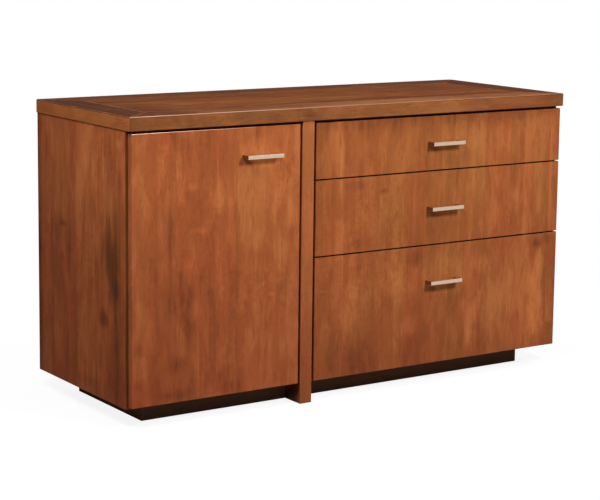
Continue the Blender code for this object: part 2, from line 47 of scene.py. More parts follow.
# Places that the finishes and the hardware line up with

TOP_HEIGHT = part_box("top_field")[1][2]
TOP_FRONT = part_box("top_border_front")[0][1]
CASE_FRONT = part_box("side_panel_left")[0][1]
FRONTS_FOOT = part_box("door")[0][2]
DIVIDER_MIDDLE = halfway(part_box("divider_panel")[0][0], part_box("divider_panel")[1][0])
DIVIDER_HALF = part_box("divider_panel")[1][0] - DIVIDER_MIDDLE
DIVIDER_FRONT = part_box("divider_panel")[0][1]
BOX_WALL = 0.0127


# Camera and lamps

CAMERA_PLACE = Vector((-2.7054, -3.9883, 1.2240))
CAMERA_YAW = radians(33.814)
CAMERA_PITCH = radians(8.368)
CAMERA_ROLL = radians(0.674)
FOCAL_PIXELS = 1796.1
PICTURE_WIDTH = 600
SENSOR = 36.0
SHIFT_PIXELS = -60


def make_camera():
    """The camera at the photographed angle, with the small vertical shift that its framing needs."""
    lens = bpy.data.cameras.new("camera")
    lens.sensor_fit = "HORIZONTAL"
    lens.sensor_width = SENSOR
    lens.lens = FOCAL_PIXELS / PICTURE_WIDTH * SENSOR
    lens.shift_y = SHIFT_PIXELS / PICTURE_WIDTH
    camera = bpy.data.objects.new("camera", lens)
    scene.collection.objects.link(camera)
    turn = Matrix.Rotation(-CAMERA_YAW, 4, "Z") @ Matrix.Rotation(pi / 2 - CAMERA_PITCH, 4, "X")
    camera.matrix_world = Matrix.Translation(CAMERA_PLACE) @ turn @ Matrix.Rotation(CAMERA_ROLL, 4, "Z")
    scene.camera = camera


def make_lamp(name, place, target, size, power):
    """A square soft lamp that faces a point."""
    light = bpy.data.lights.new(name, "AREA")
    light.shape = "SQUARE"
    light.size = size
    light.energy = power
    lamp = bpy.data.objects.new(name, light)
    lamp.location = place
    lamp.rotation_euler = (Vector(target) - Vector(place)).to_track_quat("-Z", "Y").to_euler()
    scene.collection.objects.link(lamp)


# Node helpers

SMOOTH = "SMOOTHSTEP"


def feed(tree, made, sockets):
    """Feed a node's sockets with values or with other sockets."""
    for name, value in sockets.items():
        if isinstance(value, bpy.types.NodeSocket):
            tree.links.new(value, made.inputs[name])
        else:
            made.inputs[name].default_value = value


def add(tree, kind, sockets=None, **settings):
    """A new shader node with its options and its sockets."""
    made = tree.nodes.new("ShaderNode" + kind)
    for name, value in settings.items():
        setattr(made, name, value)
    feed(tree, made, sockets or {})
    return made


def calc(tree, operation, *values):
    """A math node's result."""
    return add(tree, "Math", dict(enumerate(values)), operation=operation).outputs[0]


def times(tree, product, *others):
    """The product of all the values."""
    for other in others:
        product = calc(tree, "MULTIPLY", product, other)
    return product


def minus(tree, first, second):
    return calc(tree, "SUBTRACT", first, second)


def leaned(tree, value, part, share):
    """A value moved by a share of a part's distance from its middle."""
    return calc(tree, "MULTIPLY_ADD", minus(tree, part, 0.5), share, value)


def remap(tree, value, low, high, to_low=0.0, to_high=1.0, kind="LINEAR"):
    """A value taken from one range to another."""
    sockets = {"Value": value, "From Min": low, "From Max": high, "To Min": to_low, "To Max": to_high}
    return add(tree, "MapRange", sockets, interpolation_type=kind).outputs["Result"]


def mix(tree, factor, first, second, blend="MIX"):
    """Two colours blended."""
    return add(tree, "Mix", {0: factor, 6: first, 7: second}, data_type="RGBA", blend_type=blend).outputs[2]


def ramp(tree, value, stops):
    """A colour ramp through the given places and colours."""
    made = add(tree, "ValToRGB", {"Fac": value})
    band = made.color_ramp
    while len(band.elements) < len(stops):
        band.elements.new(0.5)
    for element, (place, colour) in zip(band.elements, stops):
        element.position = place
        element.color = colour
    return made.outputs["Color"]


def noise(tree, vector, detail=2.0, roughness=0.5, distortion=0.0):
    sockets = {"Vector": vector, "Scale": 1.0, "Detail": detail, "Roughness": roughness,
               "Distortion": distortion}
    return add(tree, "TexNoise", sockets).outputs["Fac"]


def axes(tree, vector):
    """A vector's three parts."""
    return add(tree, "SeparateXYZ", {0: vector}).outputs


def facing_shares(tree, normal):
    """How far a face looks along each axis, either way."""
    return axes(tree, add(tree, "VectorMath", {0: normal}, operation="ABSOLUTE").outputs[0])


def start(name):
    """A new material with its node tree and its main shader."""
    material = bpy.data.materials.new(name)
    material.use_nodes = True
    tree = material.node_tree
    return material, tree, tree.nodes["Principled BSDF"]


# Stains

# a stain's arris is the colour of the painted highlight on its eased edges
Stain = namedtuple("Stain", "dark middle light arris")


def shade(red, green, blue):
    """The linear colour of a screen colour in 8-bit steps."""
    return tuple(((step / 255 + 0.055) / 1.055) ** 2.4 for step in (red, green, blue)) + (1.0,)


REDDISH = Stain(shade(88, 41, 25), shade(156, 85, 46), shade(206, 128, 74), shade(206, 138, 100))
BIRCH = Stain(shade(170, 128, 82), shade(210, 172, 122), shade(232, 202, 156), shade(236, 212, 172))
BACK_BROWN = Stain(shade(90, 46, 24), shade(146, 84, 48), shade(186, 118, 70), REDDISH.arris)
DULL_BROWN = Stain(shade(84, 58, 44), shade(119, 88, 68), shade(148, 110, 86), shade(142, 108, 86))
POST_BROWN = REDDISH._replace(middle=shade(160, 90, 50))
BORDER_BROWN = REDDISH._replace(middle=shade(142, 84, 49))
END_BORDER_BROWN = REDDISH._replace(middle=shade(166, 94, 50))
GROOVE = shade(40, 22, 18)
KNOT_HEART = shade(62, 38, 28)
KNOT_HALO = shade(84, 48, 17)
KNOT_RED = shade(92, 42, 18)
# painted highlight: the pale line where the lamps glint on the arrises
ARRIS_HIGHLIGHT = shade(250, 205, 190)
FRONT_HUES = ((1.03, 0.95, 0.97, 1.0), (0.97, 1.05, 1.01, 1.0))
TOP_HUES = ((1.06, 0.90, 0.98, 1.0), (0.96, 1.08, 0.92, 1.0))


# Layers of a veneer's figure: cells per metre across and along the grain, a shift, and the noise's make

Layer = namedtuple("Layer", "across along shift by_leaf detail roughness distortion",
                   defaults=(False, 2.0, 0.5, 0.0))
BANDS = Layer(26.0, 1.0, 3.0, by_leaf=True, detail=3.0, roughness=0.6, distortion=0.15)
WIDE_BANDS = Layer(11.0, 0.8, 63.0, by_leaf=True)
STREAKS = Layer(85.0, 2.2, 13.0, by_leaf=True, distortion=0.15)
LINES = Layer(330.0, 8.0, 9.0, roughness=0.6)
BLOTCHES = Layer(10.0, 4.0, 17.0, distortion=0.6)
RAGS = Layer(48.0, 13.0, 27.0, detail=3.0, roughness=0.6, distortion=0.4)
CURL = Layer(26.0, 34.0, 23.0, by_leaf=True, detail=1.0, distortion=1.6)
CURL_PLACES = Layer(5.0, 4.0, 31.0, detail=1.0)
FLAMES = Layer(34.0, 10.0, 71.0, by_leaf=True, distortion=0.4)
FLECKS = Layer(110.0, 17.0, 37.0, detail=1.0, distortion=0.3)
PORES = Layer(1500.0, 55.0, 5.0, detail=1.0)
HUE_PATCHES = Layer(7.0, 2.2, 51.0, by_leaf=True, distortion=0.5)
# the next layer breaks the painted edge highlight into patches
EDGE_HIGHLIGHT_PATCHES = Layer(30.0, 12.0, 2.0)
SWAY = Layer(18.0, 0.15, 91.0, detail=1.0)
WARP = Layer(7.0, 0.4, 40.0, detail=1.0)
WARP_REACH = 0.09
LEAF_STEP = 7.31

# Strips per metre, cells along each strip and a shift, and how all strips bend and differ

BROAD_STRIPS = (31.0, 2.2, 0.0)
SLIM_STRIPS = (74.0, 4.5, 13.0)
STRIP_SWAY = 4.0
STRIP_STEP = 7.7
STRIP_DEPTH_CELLS = 4.0

# How ragged a soft spot's border is, and where in its reach it fades out

SPOT_RAGS = 1.1
SPOT_STRIPS = 0.9
SPOT_FADE = (0.1, 1.0)

# Where curl, flames, flecks, hues and pores show and how strongly, and the surface's relief and gloss

CURL_FADE = (0.46, 0.60)
FLAME_FADE = (0.42, 0.58)
DARK_FLECKS = (0.66, 0.76, -0.10)
PALE_FLECKS = (0.33, 0.25, 0.07)
TONES_SHARE = 1.6
HUE_FADE = (0.35, 0.65)
PORE_COVER = (0.58, 0.70, 0.0, 0.38)
PORE_DEPTH = -0.6
RELIEF_DEPTH = 0.0004
RELIEF_STRENGTH = 0.08
GLOSS = (0.3, 0.7, 0.50, 0.38)
COAT_ROUGHNESS = 0.25

# Painted highlights on the eased edges: how flat a face is without highlight and with the full one, the least
# highlight, and the patches

EDGE_FLATNESS = (0.97, 0.80)
LEAST_EDGE_HIGHLIGHT = 0.20
EDGE_HIGHLIGHT_FADE = (0.35, 0.60, 0.30, 1.0)


class Board:
    """Where a point lies on a veneered board, and what the veneer's figure is there."""

    def __init__(self, tree, grain, across, seed, leaf_width, joints, turned):
        self.tree, self.seed = tree, seed
        self.coordinates = add(tree, "TexCoord").outputs
        self.parts = axes(tree, self.coordinates["Object"])
        self.along, self.across = self.parts[grain], self.parts[across]
        self.depth = self.parts[({"X", "Y", "Z"} - {grain, across}).pop()]
        if turned:
            share = turned(tree, self.parts, self.coordinates["Normal"])
            difference = minus(tree, self.depth, self.along)
            self.along = calc(tree, "MULTIPLY_ADD", share, difference, self.along)
            self.depth = calc(tree, "MULTIPLY_ADD", times(tree, share, -1.0), difference, self.depth)
        self.number_leaves(leaf_width, joints)
        self.sway = self.figure(SWAY)
        self.rags = self.figure(RAGS)
        self.lines = self.figure(LINES)
        self.broad_strips = self.strips(*BROAD_STRIPS)
        self.slim_strips = self.strips(*SLIM_STRIPS)

    def number_leaves(self, leaf_width, joints):
        """Number the leaves, between given joints or of about one width, and slip each one's figure."""
        if joints:
            number = self.seed
            for joint in joints:
                number = calc(self.tree, "ADD", calc(self.tree, "GREATER_THAN", self.across, joint), number)
        else:
            bent = calc(self.tree, "MULTIPLY_ADD", self.figure(WARP), WARP_REACH, self.across)
            place = calc(self.tree, "MULTIPLY_ADD", bent, 1 / leaf_width, self.seed)
            number = calc(self.tree, "FLOOR", place)
        toss = add(self.tree, "TexWhiteNoise", {"W": number}, noise_dimensions="1D")
        self.leaf_tone = toss.outputs["Value"]
        self.slip = times(self.tree, number, LEAF_STEP)

    def figure(self, layer):
        """One layer of the figure, from nothing to one."""
        shift = layer.shift
        slip = self.slip if layer.by_leaf else 0.0
        sockets = {"X": calc(self.tree, "MULTIPLY_ADD", self.across, layer.across, shift + self.seed),
                   "Y": calc(self.tree, "MULTIPLY_ADD", self.depth, layer.across, shift),
                   "Z": calc(self.tree, "MULTIPLY_ADD", self.along, layer.along, slip)}
        place = add(self.tree, "CombineXYZ", sockets).outputs[0]
        return noise(self.tree, place, layer.detail, layer.roughness, layer.distortion)

    def strips(self, per_metre, along_cells, shift):
        """Strips with crisp sides, each with a tone of its own that wanders along it."""
        place = calc(self.tree, "MULTIPLY_ADD", self.across, per_metre, shift)
        place = calc(self.tree, "MULTIPLY_ADD", self.sway, STRIP_SWAY, place)
        number = times(self.tree, calc(self.tree, "FLOOR", place), STRIP_STEP)
        sockets = {"X": calc(self.tree, "ADD", number, self.seed),
                   "Y": times(self.tree, self.depth, STRIP_DEPTH_CELLS),
                   "Z": times(self.tree, self.along, along_cells)}
        return noise(self.tree, add(self.tree, "CombineXYZ", sockets).outputs[0])

    def spot(self, place_across, place_along, half_width, half_length):
        """One in the middle of a soft spot, ragged along the strips, and nothing outside it."""
        tree = self.tree
        side = calc(tree, "DIVIDE", minus(tree, self.across, place_across), half_width)
        up = calc(tree, "DIVIDE", minus(tree, self.along, place_along), half_length)
        reach = calc(tree, "SQRT", calc(tree, "ADD", times(tree, side, side), times(tree, up, up)))
        reach = leaned(tree, reach, self.rags, SPOT_RAGS)
        reach = leaned(tree, reach, self.slim_strips, SPOT_STRIPS)
        return remap(tree, reach, *SPOT_FADE, 1.0, 0.0, SMOOTH)


def veneer_tone(board, strength, tones, marks):
    """How light the stain looks at a point, from nothing to one, where a half is its middle tone."""
    tree = board.tree
    curl_places = remap(tree, board.figure(CURL_PLACES), *CURL_FADE)
    curl = calc(tree, "MULTIPLY_ADD", minus(tree, board.figure(CURL), 0.5), curl_places, 0.5)
    flames = remap(tree, board.figure(FLAMES), *FLAME_FADE, kind=SMOOTH)
    shares = ((board.figure(BANDS), 0.18), (board.figure(WIDE_BANDS), 0.10), (board.figure(STREAKS), 0.08),
              (board.lines, 0.04), (board.figure(BLOTCHES), 0.30), (board.broad_strips, 0.34),
              (board.slim_strips, 0.21), (board.rags, 0.10), (board.leaf_tone, 0.06), (curl, 0.22),
              (flames, 0.09))
    tone = 0.5
    for part, share in shares:
        tone = leaned(tree, tone, part, share * strength)
    flecks = board.figure(FLECKS)
    for starts, full, share in (DARK_FLECKS, PALE_FLECKS):
        tone = calc(tree, "MULTIPLY_ADD", remap(tree, flecks, starts, full), share * strength, tone)
    if tones:
        low, high = tones[0][0], tones[-1][0]
        stops = [((place - low) / (high - low), (*(value / 2,) * 3, 1.0)) for place, value in tones]
        wide = ramp(tree, remap(tree, board.across, low, high), stops)
        tone = leaned(tree, tone, wide, TONES_SHARE)
    for *place, share in marks:
        tone = calc(tree, "MULTIPLY_ADD", board.spot(*place), share, tone)
    return tone


def edge_highlights(board, up, highlight_strength):
    """Painted highlight: one along the eased edges of a board, most of all where they face up toward the
    lamps, in patches.
    """
    tree = board.tree
    facing = facing_shares(tree, board.coordinates["Normal"])
    flatness = calc(tree, "MAXIMUM", calc(tree, "MAXIMUM", facing["X"], facing["Y"]), facing["Z"])
    return times(tree, remap(tree, flatness, *EDGE_FLATNESS),
                 remap(tree, up, 0.0, 0.5, LEAST_EDGE_HIGHLIGHT * highlight_strength, highlight_strength),
                 remap(tree, board.figure(EDGE_HIGHLIGHT_PATCHES), *EDGE_HIGHLIGHT_FADE))


def wood(name, grain, across, seed, stain=REDDISH, strength=1.0, coat=0.10, highlight_strength=1.0, hues=FRONT_HUES,
         tones=None, leaf_width=0.085, joints=None, marks=(), knots=(), falloff_shade=None, faces=None, turned=None):
    """Stained veneer: leaves side by side, bands, streaks, soft blotches, curl, flecks and pores."""
    material, tree, shader = start(name)
    board = Board(tree, grain, across, seed, leaf_width, joints, turned)
    tone = veneer_tone(board, strength, tones, marks)
    colour = ramp(tree, tone, ((0.0, stain.dark), (0.5, stain.middle), (1.0, stain.light)))
    hue = remap(tree, board.figure(HUE_PATCHES), *HUE_FADE)
    colour = mix(tree, 1.0, colour, mix(tree, hue, *hues), "MULTIPLY")
    # painted shade: darker towards the floor, standing in for the lamps' falloff
    if falloff_shade:
        factor, starts, full = falloff_shade
        low_down = remap(tree, board.along, starts, full, kind=SMOOTH)
        colour = mix(tree, low_down, colour, (*factor, 1.0), "MULTIPLY")
    pores = board.figure(PORES)
    colour = mix(tree, remap(tree, pores, *PORE_COVER), colour, stain.dark)
    for *place, share, knot in knots:
        colour = mix(tree, times(tree, board.spot(*place), share), colour, knot)
    up = axes(tree, board.coordinates["Normal"])["Z"]
    if faces:
        places = {"X": board.parts["X"], "Y": board.parts["Y"], "Z": board.parts["Z"], "up": up}
        colour = faces(tree, places, colour)
    # painted highlight: the eased edges turn toward the stain's arris colour
    colour = mix(tree, edge_highlights(board, up, highlight_strength), colour, stain.arris)
    height = calc(tree, "MULTIPLY_ADD", pores, PORE_DEPTH, board.lines)
    relief = add(tree, "Bump", {"Height": height, "Strength": RELIEF_STRENGTH, "Distance": RELIEF_DEPTH})
    feed(tree, shader, {"Base Color": colour, "Roughness": remap(tree, board.lines, *GLOSS),
                        "Specular IOR Level": 0.0, "Coat Weight": coat, "Coat Roughness": COAT_ROUGHNESS,
                        "Normal": relief.outputs[0]})
    return material


# Strokes of stain, painted shade and painted highlight that follow a board's faces and places, each within
# its fades

Fade = namedtuple("Fade", "place starts full least most kind", defaults=(0.0, 1.0, "LINEAR"))


def deepen(factor, *fades):
    """A stroke that multiplies the colour under it."""
    return "MULTIPLY", (*factor, 1.0), fades


def cover(stain, *fades):
    """A stroke that hides the colour under it."""
    return "MIX", stain, fades


def brushed(*strokes):
    """A painter that lays strokes over a colour, each as strong as its fades' product."""
    def paint(tree, places, colour):
        for blend, stain, fades in strokes:
            amounts = [remap(tree, places[fade.place], *fade[1:]) for fade in fades]
            colour = mix(tree, times(tree, *amounts), colour, stain, blend)
        return colour
    return paint


def top_faces(face_tone_and_shade, left=1.0, edge=1.0, corner=1.0, end=1.0):
    """Darker faces and edges of the top, most at its left, the upper faces' darkness being painted shade over
    each board's own tone, dark joints, and a painted highlight along the front arris.
    """
    upper = Fade("Z", TOP_HEIGHT - 0.0030, TOP_HEIGHT - 0.0014)
    lower = upper._replace(least=1.0, most=0.0)
    in_joint = Fade("Z", TOP_HEIGHT - 0.0001, TOP_HEIGHT - 0.0004)
    near_front = Fade("Y", TOP_FRONT + 0.0016, TOP_FRONT + 0.0008)
    near_top = Fade("Z", TOP_HEIGHT - 0.0022, TOP_HEIGHT - 0.0016)
    # painted shade: the upper faces darker than the same veneer on the edges, over each board's own tone
    shaded_face = deepen(face_tone_and_shade, upper)
    on_edge = deepen((edge,) * 3, lower)
    edge_left_end = deepen((end,) * 3, lower, Fade("X", -0.50, -0.62, kind=SMOOTH))
    face_left_half = deepen((left,) * 3, upper, Fade("X", 0.10, -0.62, kind=SMOOTH))
    face_left_corner = deepen((corner, corner * 0.94, corner), upper, Fade("X", -0.42, -0.60, kind=SMOOTH))
    joints = cover(GROOVE, in_joint, upper)
    # painted highlight along the top's front arris, strongest at the left
    front_arris_highlight = cover(ARRIS_HIGHLIGHT, near_front, near_top, Fade("X", -0.6, 0.3, 0.52, 0.08))
    return brushed(shaded_face, on_edge, edge_left_end, face_left_half, face_left_corner, joints, front_arris_highlight)


def front_faces():
    """The fronts' slow changes of hue, their darker places, painted shade on their upper edges and on the
    drawers' upward arrises in the gaps, and a painted highlight on the door's upward arrises.
    """
    on_drawers = Fade("X", DIVIDER_MIDDLE - DIVIDER_HALF, DIVIDER_MIDDLE + DIVIDER_HALF)
    at_arris = Fade("up", 0.3, 0.6)
    golden_drawers = deepen((0.975, 1.070, 1.010), Fade("X", -0.30, 0.00))
    red_last_leaves = deepen((1.020, 0.945, 0.975), Fade("X", 0.36, 0.50))
    golden_low_right = deepen((0.985, 1.055, 0.975), Fade("X", 0.40, 0.62), Fade("Z", 0.36, 0.20))
    red_low_door = deepen((1.000, 0.930, 0.970), Fade("X", -0.15, -0.20), Fade("Z", 0.22, 0.10))
    dark_under_top = deepen((0.80, 0.77, 0.79), on_drawers, Fade("Z", 0.660, 0.725, kind=SMOOTH),
                            Fade("X", -0.144, 0.060, least=0.2))
    dark_first_leaves = deepen((0.90, 0.83, 0.90), on_drawers, Fade("X", 0.060, 0.056),
                               Fade("X", -0.150, 0.030, least=0.35), Fade("Z", 0.155, 0.085, kind=SMOOTH))
    # painted shade: the fronts' upward edge faces dark inside the gaps
    shaded_upper_edges = deepen((0.26, 0.21, 0.21), Fade("up", 0.85, 0.95))
    # painted shade on the drawers' upward arrises at the gaps
    shaded_drawer_arrises = deepen((0.45, 0.42, 0.42), at_arris, on_drawers)
    # painted highlight on the door's upward arrises, most at its left
    door_arris_highlight = cover(ARRIS_HIGHLIGHT, at_arris, Fade("up", 0.85, 0.75), Fade("X", -0.30, -0.60))
    return brushed(golden_drawers, red_last_leaves, golden_low_right, red_low_door, dark_under_top,
                   dark_first_leaves, shaded_upper_edges, shaded_drawer_arrises, door_arris_highlight)


def post_faces():
    """The divider's sides darkened with painted shade within the toe spaces, less so near its front edge."""
    below_fronts = Fade("Z", FRONTS_FOOT + 0.0025, FRONTS_FOOT - 0.0035)
    behind_edge = Fade("Y", DIVIDER_FRONT - 0.001, DIVIDER_FRONT + 0.034, least=0.45)
    strokes = []
    for side in (-1, 1):
        inner = DIVIDER_MIDDLE + side * (DIVIDER_HALF - 0.0007)
        outer = DIVIDER_MIDDLE + side * (DIVIDER_HALF - 0.0002)
        strokes.append(deepen((0.38, 0.50, 0.66), Fade("X", inner, outer), below_fronts, behind_edge))
    return brushed(*strokes)


def side_faces():
    """The side panels' front edges darkened with painted shade in the gap behind the door, most of all high
    up.
    """
    at_edge = Fade("Y", CASE_FRONT + 0.0028, CASE_FRONT + 0.0015)
    return brushed(deepen((0.68, 0.70, 0.66), at_edge),
                   deepen((0.66, 0.54, 0.42), at_edge, Fade("Z", 0.42, 0.60)))


# Dovetails: their pitch, what is measured in shares of it, where they show, and how dark they are

TAIL_PITCH = 0.025
TAIL_HALF = 0.42
PIN_HALF = 0.40
TAIL_TAPER = -0.10
TAIL_SOFTNESS = 0.008
JOINT_FADE = (0.022, 0.010)
FACE_ON = (0.8, 0.9)
WALL_SLACK = 0.02
END_GRAIN_FACTOR = (0.66, 0.58, 0.50, 1.0)
JOINT_FACTOR = (0.45, 0.36, 0.30, 1.0)


def dovetails(box_low, box_high):
    """End grain where the tails and pins of a drawer box show at its corners."""
    def paint(tree, places, colour):
        facing = facing_shares(tree, add(tree, "TexCoord").outputs["Normal"])
        step = calc(tree, "DIVIDE", minus(tree, places["Z"], box_low[2]), TAIL_PITCH)
        off_middle = calc(tree, "ABSOLUTE", minus(tree, calc(tree, "FRACT", step), 0.5))

        def depth_in(part, low, high):
            """How far a point lies from the nearer end, in wall thicknesses."""
            nearer = calc(tree, "MINIMUM", minus(tree, part, low), minus(tree, high, part))
            return calc(tree, "DIVIDE", nearer, BOX_WALL)

        side_depth = depth_in(places["Y"], box_low[1], box_high[1])
        tail_edge = minus(tree, off_middle, calc(tree, "MULTIPLY_ADD", side_depth, TAIL_TAPER, TAIL_HALF))
        end_depth = depth_in(places["X"], box_low[0], box_high[0])
        pin_edge = minus(tree, PIN_HALF, off_middle)
        for face, depth, edge in ((facing["X"], side_depth, tail_edge), (facing["Y"], end_depth, pin_edge)):
            near = times(tree, remap(tree, face, *FACE_ON),
                         remap(tree, depth, 1 + WALL_SLACK, 1 - WALL_SLACK))
            end_grain = times(tree, near, remap(tree, edge, -TAIL_SOFTNESS, TAIL_SOFTNESS))
            colour = mix(tree, end_grain, colour, END_GRAIN_FACTOR, "MULTIPLY")
            joint = times(tree, near, remap(tree, calc(tree, "ABSOLUTE", edge), *JOINT_FADE))
            colour = mix(tree, joint, colour, JOINT_FACTOR, "MULTIPLY")
        return colour
    return paint


# Tones of the leaves: places across the grain and how light the wood is there

FRONT_TONES = (
    (-0.686, 0.92), (-0.640, 0.97), (-0.612, 0.91), (-0.557, 0.91), (-0.553, 0.98), (-0.500, 0.93),
    (-0.470, 0.94), (-0.440, 1.00), (-0.380, 1.00), (-0.376, 1.05), (-0.310, 1.09), (-0.190, 1.08),
    (-0.144, 0.88), (-0.095, 0.96), (-0.070, 1.06), (-0.050, 0.98), (0.040, 0.96), (0.085, 0.99),
    (0.115, 1.06), (0.150, 0.99), (0.212, 0.90), (0.255, 0.96), (0.300, 0.94), (0.405, 0.94),
    (0.415, 1.05), (0.475, 1.08), (0.560, 1.12), (0.610, 1.13), (0.650, 1.05), (0.678, 0.98))
SIDE_TONES = (
    (-0.216, 1.04), (-0.185, 0.99), (-0.150, 0.95), (-0.120, 0.96), (-0.060, 1.00), (-0.050, 1.09),
    (0.040, 1.08), (0.050, 0.95), (0.110, 0.92), (0.190, 0.99), (0.235, 1.03), (0.250, 0.72), (0.262, 0.62))
FIELD_TONES = (
    (-0.153, 0.72), (-0.143, 0.86), (-0.100, 1.00), (-0.040, 1.09), (0.030, 1.02), (0.090, 0.94),
    (0.135, 1.05), (0.177, 1.00))
BORDER_TONES = (
    (-0.242, 1.12), (-0.215, 1.10), (-0.170, 1.06), (-0.158, 0.96), (-0.153, 0.80), (0.177, 1.06),
    (0.200, 1.00), (0.240, 0.90), (0.266, 0.72))

# Where the leaves of veneer meet

FRONT_JOINTS = (-0.640, -0.556, -0.490, -0.440, -0.385, -0.300, -0.230, -0.170, -0.056, 0.058, 0.138,
                0.205, 0.268, 0.345, 0.410, 0.500, 0.590, 0.645)
SIDE_JOINTS = (-0.120, -0.056, 0.046, 0.100, 0.190)
FIELD_JOINTS = (-0.110, -0.062, -0.015, 0.034, 0.085, 0.130)
BORDER_JOINTS = (0.0,)

# Soft marks in the wood: place across and along the grain, half width, half length, and how much lighter

UNDER_TOP_MARKS = ((0.260, 0.745, 0.900, 0.055, -0.18),)
DRAWER_MARKS = (
    (0.215, 0.300, 0.230, 0.080, 0.15), (-0.064, 0.600, 0.010, 0.130, 0.12),
    (0.083, 0.335, 0.014, 0.050, 0.14), (0.122, 0.120, 0.014, 0.060, 0.14),
    (0.605, 0.470, 0.018, 0.060, 0.12), (0.175, 0.345, 0.040, 0.030, -0.14),
    (0.620, 0.235, 0.020, 0.030, -0.16), (0.605, 0.352, 0.026, 0.018, -0.20),
    (-0.010, 0.405, 0.055, 0.022, -0.14), (0.650, 0.362, 0.040, 0.022, -0.14),
    (0.072, 0.538, 0.026, 0.011, -0.15), (-0.022, 0.240, 0.070, 0.110, 0.17),
    (0.500, 0.200, 0.240, 0.170, 0.17), (0.605, 0.210, 0.045, 0.150, 0.22),
    (0.375, 0.200, 0.030, 0.190, 0.17), (0.390, 0.230, 0.008, 0.018, -0.15),
    (0.160, 0.165, 0.060, 0.045, 0.14), (0.410, 0.315, 0.050, 0.035, 0.12),
    (0.610, 0.300, 0.035, 0.040, 0.14), (0.595, 0.115, 0.050, 0.045, 0.12),
    (0.385, 0.100, 0.035, 0.050, 0.12), (-0.020, 0.558, 0.055, 0.020, -0.14),
    (0.530, 0.490, 0.045, 0.045, 0.13))
DOOR_MARKS = (
    (-0.610, 0.350, 0.110, 0.110, -0.10), (-0.340, 0.700, 0.040, 0.040, -0.12),
    (-0.400, 0.070, 0.060, 0.030, -0.13), (-0.540, 0.700, 0.050, 0.045, -0.12),
    (-0.290, 0.590, 0.110, 0.110, 0.09), (-0.580, 0.440, 0.090, 0.070, -0.07),
    (-0.280, 0.330, 0.080, 0.060, -0.07), (-0.520, 0.240, 0.045, 0.060, -0.12),
    (-0.300, 0.400, 0.060, 0.045, -0.10), (-0.660, 0.200, 0.020, 0.030, -0.16),
    (-0.660, 0.110, 0.025, 0.025, -0.16), (-0.560, 0.075, 0.070, 0.020, -0.14),
    (-0.300, 0.330, 0.012, 0.014, 0.14), (-0.275, 0.300, 0.020, 0.008, 0.12),
    (-0.510, 0.590, 0.030, 0.015, 0.10), (-0.490, 0.480, 0.040, 0.012, 0.12),
    (-0.530, 0.300, 0.050, 0.090, -0.20), (-0.580, 0.500, 0.032, 0.075, -0.14),
    (-0.425, 0.570, 0.070, 0.080, 0.14), (-0.430, 0.105, 0.065, 0.055, -0.16),
    (-0.220, 0.450, 0.028, 0.035, -0.13), (-0.560, 0.150, 0.060, 0.040, -0.10))
SIDE_MARKS = (
    (0.000, 0.620, 0.045, 0.120, 0.10), (0.150, 0.460, 0.060, 0.060, -0.14),
    (-0.165, 0.090, 0.080, 0.060, -0.15), (0.100, 0.140, 0.018, 0.110, -0.14),
    (-0.185, 0.700, 0.025, 0.025, 0.12), (-0.198, 0.430, 0.014, 0.060, 0.16),
    (0.145, 0.140, 0.050, 0.090, 0.20), (-0.110, 0.690, 0.035, 0.050, -0.14),
    (-0.152, 0.650, 0.030, 0.110, -0.18), (-0.190, 0.610, 0.030, 0.050, -0.12),
    (-0.060, 0.600, 0.030, 0.080, 0.14), (-0.062, 0.450, 0.036, 0.070, 0.16),
    (0.088, 0.420, 0.028, 0.090, -0.14), (0.090, 0.690, 0.025, 0.090, 0.12),
    (-0.020, 0.080, 0.070, 0.030, -0.16))

# Knots in the sides, with their halos: the same four measures, how strongly they cover, and their stain

SIDE_KNOTS = (
    (-0.138, 0.430, 0.070, 0.120, 0.60, KNOT_HALO), (-0.146, 0.405, 0.048, 0.070, 0.55, KNOT_HALO),
    (-0.158, 0.325, 0.048, 0.085, 0.60, KNOT_HALO), (-0.163, 0.344, 0.026, 0.046, 0.70, KNOT_HEART),
    (-0.104, 0.253, 0.036, 0.034, 0.75, KNOT_RED), (0.120, 0.464, 0.030, 0.016, 0.60, KNOT_RED),
    (-0.168, 0.240, 0.020, 0.100, 0.55, KNOT_RED), (-0.172, 0.150, 0.018, 0.080, 0.35, KNOT_RED),
    (0.118, 0.375, 0.022, 0.024, 0.40, KNOT_RED), (0.214, 0.660, 0.008, 0.080, 0.45, KNOT_HALO))


# Woods

# painted shade towards the floor on the fronts, the divider and the ends, and a weak painted highlight on the
# fronts' edges
wood_upright = wood("stained veneer, fronts", grain="Z", across="X", seed=0.37, highlight_strength=0.2,
                    tones=FRONT_TONES, joints=FRONT_JOINTS,
                    marks=UNDER_TOP_MARKS + DRAWER_MARKS + DOOR_MARKS, faces=front_faces(),
                    falloff_shade=((0.92, 0.82, 0.88), 0.56, 0.08))
wood_post = wood("stained veneer, divider", grain="Z", across="Y", seed=5.1, stain=POST_BROWN, strength=0.6,
                 faces=post_faces(), falloff_shade=((0.80, 0.66, 0.74), 0.50, 0.08))
wood_side = wood("stained veneer, ends", grain="Z", across="Y", seed=2.6, coat=0.05, tones=SIDE_TONES,
                 joints=SIDE_JOINTS, marks=SIDE_MARKS, knots=SIDE_KNOTS, faces=side_faces(),
                 falloff_shade=((0.81, 0.69, 0.68), 0.60, 0.36))
wood_shelf = wood("stained veneer, shelf and floors", grain="X", across="Y", seed=7.7)
wood_back = wood("stained veneer, backs", grain="Z", across="X", seed=6.2, stain=BACK_BROWN, strength=0.7)
wood_plinth = wood("dull brown stain, plinths", grain="X", across="Z", seed=3.9, stain=DULL_BROWN,
                   strength=0.6, coat=0.0)


def top_wood(place, grain, across, seed, **looks):
    """Veneer for one board of the top."""
    return wood("stained veneer, " + place, grain, across, seed, coat=0.03, **looks)


